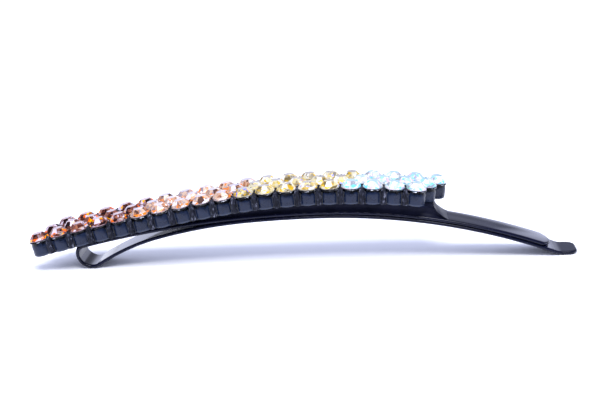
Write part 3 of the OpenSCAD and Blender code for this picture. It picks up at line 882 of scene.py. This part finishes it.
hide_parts("upper_leg")
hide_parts("spring_loop")
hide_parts("lower_leg")
for piece in (cups, body, pillars, prongs):
    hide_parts("stone_setting")
for piece in (bed, bead):
    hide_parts("adhesive_bed")
for piece in (upper_leg, cups, body, pillars, prongs, bed, bead):
    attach(piece, "clip")
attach(lower_leg, "lower")
loop_start = bend_c + (bend_r - mid) * spoke(math.pi / 2 + bend_angle)
loop_end = foot_c + (foot_r - mid) * spoke(math.pi * 1.5 + flare)
(loop_start[0] + centre_x) * MM
(loop_end[0] + centre_x) * MM
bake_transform(loop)
print("materials:", ", ".join(material.name for material in bpy.data.materials))

# %% [markdown]
# ## The table and the light
# The photograph was taken on white, with a soft light above and in front, so that the shadow falls
# below and a little behind. The floor is nearly white, and far from the pin it glows plain white, so
# that no edge of it shows. The fill is faintly blue, as in the photograph's shadows, and the camera
# sees plain white all round. What the enamel mirrors is a bright card that stands low behind the pin,
# with a dark gap in it, which gives the strip and the loop their soft dark bands.

# %% The floor, the sky and the lamp
# Here lengths are in metres. Places on the sky are the X, Y or Z of a direction of length 1.
floor_half = 2.5
floor_mesh = bpy.data.meshes.new("table_top")
floor_mesh.from_pydata([(-floor_half, -floor_half, 0), (floor_half, -floor_half, 0),
                        (floor_half, floor_half, 0), (-floor_half, floor_half, 0)], [], [(0, 1, 2, 3)])
floor = bpy.data.objects.new("table_top", floor_mesh)
bpy.context.scene.collection.objects.link(floor)
glow_from, glow_full = 0.25, 0.6
paper = Finish("white_paper", Roughness=0.9, Specular_IOR_Level=0.0, Emission_Strength=1.0)
from_pin = paper.node("ShaderNodeVectorMath", {"operation": "LENGTH"}, [paper.place()], output="Value")
far_off = paper.step(from_pin, glow_from, glow_full)
paper.feed(Base_Color=paper.mix(far_off, colour(0.97, 0.97, 0.98), colour(0, 0, 0)),
           Emission_Color=paper.mix(far_off, colour(0, 0, 0), colour(1, 1, 1)))
floor_mesh.materials.append(paper.material)

world = bpy.data.worlds.new("studio")
world.use_nodes = True
bpy.context.scene.world = world


class Sky(Finish):
    """The world's nodes, made with the same tools as a finish."""

    def __init__(self, tree):
        self.tree = tree
        tree.nodes.clear()


sky = Sky(world.node_tree)
camera_ray, glossy_ray, clear_ray = [sky.node("ShaderNodeLightPath", output=name) for name in (
    "Is Camera Ray", "Is Glossy Ray", "Is Transmission Ray")]
way = sky.node("ShaderNodeTexCoord", output="Generated")
way_x, way_y, way_z = [sky.node("ShaderNodeSeparateXYZ", {}, [way], output=k) for k in range(3)]
gap_left, gap_right, gap_foot, gap_head = (-0.22, 0.1), (0.27, 0.235), (0.07, 0.17), (0.22, 0.27)
head_light, gap_dark, card_top, card_near = 0.16, 0.95, (0.42, 0.3), (0.8, 0.96)
behind_from, card_light, behind_light, room_light = (-0.2, 0.5), 2.0, 0.3, 0.05
sides = sky.step(way_x, *gap_left) * sky.step(way_x, *gap_right)
gap = sides * sky.step(way_z, *gap_foot) * (1 - sky.step(way_z, *gap_head) * head_light)
card = sky.step(way_z, *card_top) * sky.step(way_y, *card_near)
behind = sky.step(way_y, *behind_from)
mirrored = card * (1 - gap * gap_dark) * card_light + behind * behind_light + room_light
fill = sky.node("ShaderNodeBackground", {}, {"Color": colour(0.68, 0.73, 0.98), "Strength": 1.3})
gleam = sky.node("ShaderNodeBackground", {}, {
    "Color": colour(0.73, 0.77, 1.0), "Strength": mirrored})
white = sky.node("ShaderNodeBackground", {}, {"Color": colour(1, 1, 1), "Strength": 1.0})
lit = sky.node("ShaderNodeMixShader", {}, {0: glossy_ray, 1: fill, 2: gleam})
both = sky.node("ShaderNodeMixShader", {}, {0: camera_ray + clear_ray, 1: lit, 2: white})
world_output = sky.tree.nodes.new("ShaderNodeOutputWorld")
sky.tree.links.new(both.socket, world_output.inputs["Surface"])


def lamp(name, place, aim, size, power, tint):
    """A square area lamp at a place, turned towards a point, both in metres."""
    data = bpy.data.lights.new(name, "AREA")
    data.shape, data.size, data.energy, data.color = "SQUARE", size, power, tint
    made = bpy.data.objects.new(name, data)
    bpy.context.scene.collection.objects.link(made)
    made.location = place
    made.rotation_euler = (Vector(aim) - Vector(place)).to_track_quat("-Z", "Y").to_euler()
    print(name, size, "m wide, at", place)


lamp("top_light", place=(0.08, -0.3, 0.68), aim=(0, 0, 0), size=0.4, power=5.4, tint=(0.98, 0.98, 1.0))
